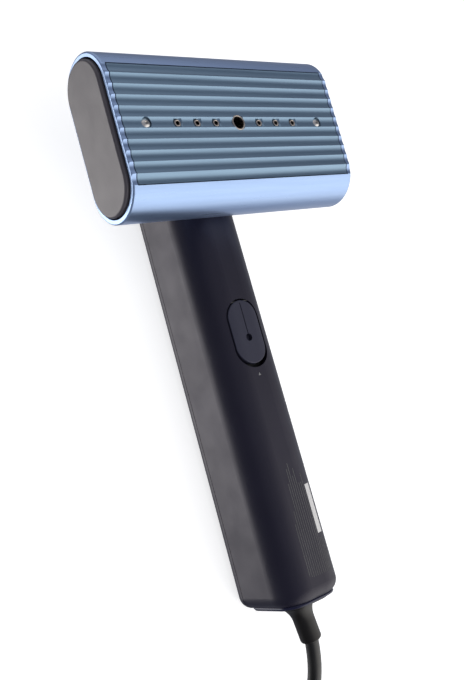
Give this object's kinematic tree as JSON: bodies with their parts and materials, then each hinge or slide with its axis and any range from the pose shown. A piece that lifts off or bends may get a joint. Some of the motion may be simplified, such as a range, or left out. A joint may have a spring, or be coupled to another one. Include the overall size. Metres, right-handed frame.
{
  "type": "handheld steamer",
  "caption": "Handheld garment steamer with a fluted steam plate on a stadium-section head, a swivel to a straight handle, a filling door, a thumb trigger and a corded plug.",
  "frame": {"origin": "under the middle of the steamer, on the surface that it lies on", "axes": "+Y from the handle's foot to the head, +Z out of the steam plate, +X across the head"},
  "size_m": [0.1604, 0.4047, 0.0786],
  "materials": {
    "head_blue": "satin",
    "plate_blue": "satin",
    "cap_charcoal": "satin",
    "handle_navy": "satin",
    "door_navy": "matte",
    "base_black": "satin",
    "trigger_grey": "matte",
    "nozzle_bronze": "satin",
    "screw_steel": "polished",
    "cast_aluminium": "cast",
    "sheet_steel": "brushed",
    "white_plastic": "matte",
    "tank_clear": "satin",
    "silicone_red": "matte",
    "silicone_grey": "matte",
    "board_green": "satin",
    "switch_black": "matte",
    "lens_clear": "polished",
    "boot_rubber": "satin",
    "cord_rubber": "satin",
    "tie_fabric": "woven",
    "plug_black": "satin",
    "pin_brass": "polished"
  },
  "bodies": {
    "handle": {"handle_shell": "handle_navy", "back_cover": "handle_navy", "bottom_cap": "base_black", "cover_screws": "screw_steel", "door_pin": "screw_steel", "filler_neck": "white_plastic", "water_tank": "tank_clear", "tank_filter": "sheet_steel", "pump": "white_plastic", "pump_cushions": "silicone_grey", "suction_tube": "silicone_grey", "water_hose": "silicone_grey", "rotary_seal": "silicone_grey", "swivel_bearing": "white_plastic", "control_board": "board_green", "microswitch": "switch_black", "indicator_lens": "lens_clear", "cord_clamp": "switch_black", "clamp_screws": "screw_steel", "trigger_spring": "screw_steel", "strain_relief": "boot_rubber", "power_cord": "cord_rubber", "cord_coil": "cord_rubber", "cord_tie": "tie_fabric", "plug_body": "plug_black", "plug_pins": "pin_brass"},
    "head": {"head_shell": "head_blue", "steam_plate": "plate_blue", "left_end_cap": "cap_charcoal", "right_end_cap": "cap_charcoal", "steam_nozzle_1": "nozzle_bronze", "steam_nozzle_2": "nozzle_bronze", "steam_nozzle_3": "nozzle_bronze", "steam_nozzle_4": "nozzle_bronze", "steam_nozzle_5": "nozzle_bronze", "steam_nozzle_6": "nozzle_bronze", "centre_nozzle": "nozzle_bronze", "plate_screws": "screw_steel", "steam_chamber": "cast_aluminium", "chamber_gasket": "silicone_red", "heating_element": "sheet_steel", "thermostat": "sheet_steel", "thermal_fuse": "white_plastic", "heat_shield": "sheet_steel", "swivel_hub": "white_plastic", "hub_screws": "screw_steel", "swivel_clip": "sheet_steel", "water_pipe": "sheet_steel"},
    "door": {"filling_door": "door_navy", "door_seal": "silicone_grey"},
    "trigger": {"trigger_button": "trigger_grey"}
  },
  "joints": [
    {"name": "head_swivel", "type": "hinge", "parent": "handle", "child": "head", "pos_m": [0, 0.0949, 0.0446], "axis": [0, 0, 1], "range_deg": [0, 90]},
    {"name": "door_hinge", "type": "hinge", "parent": "handle", "child": "door", "pos_m": [0, 0.018, 0.043], "axis": [-1, 0, 0], "range_deg": [0, 66]},
    {"name": "trigger_press", "type": "slide", "parent": "handle", "child": "trigger", "axis": [0, 0, 1], "range_m": [0, 0.0022], "stiffness_N_per_m": 400, "springref_m": -0.001, "deforming": ["trigger_spring"]}
  ]
}
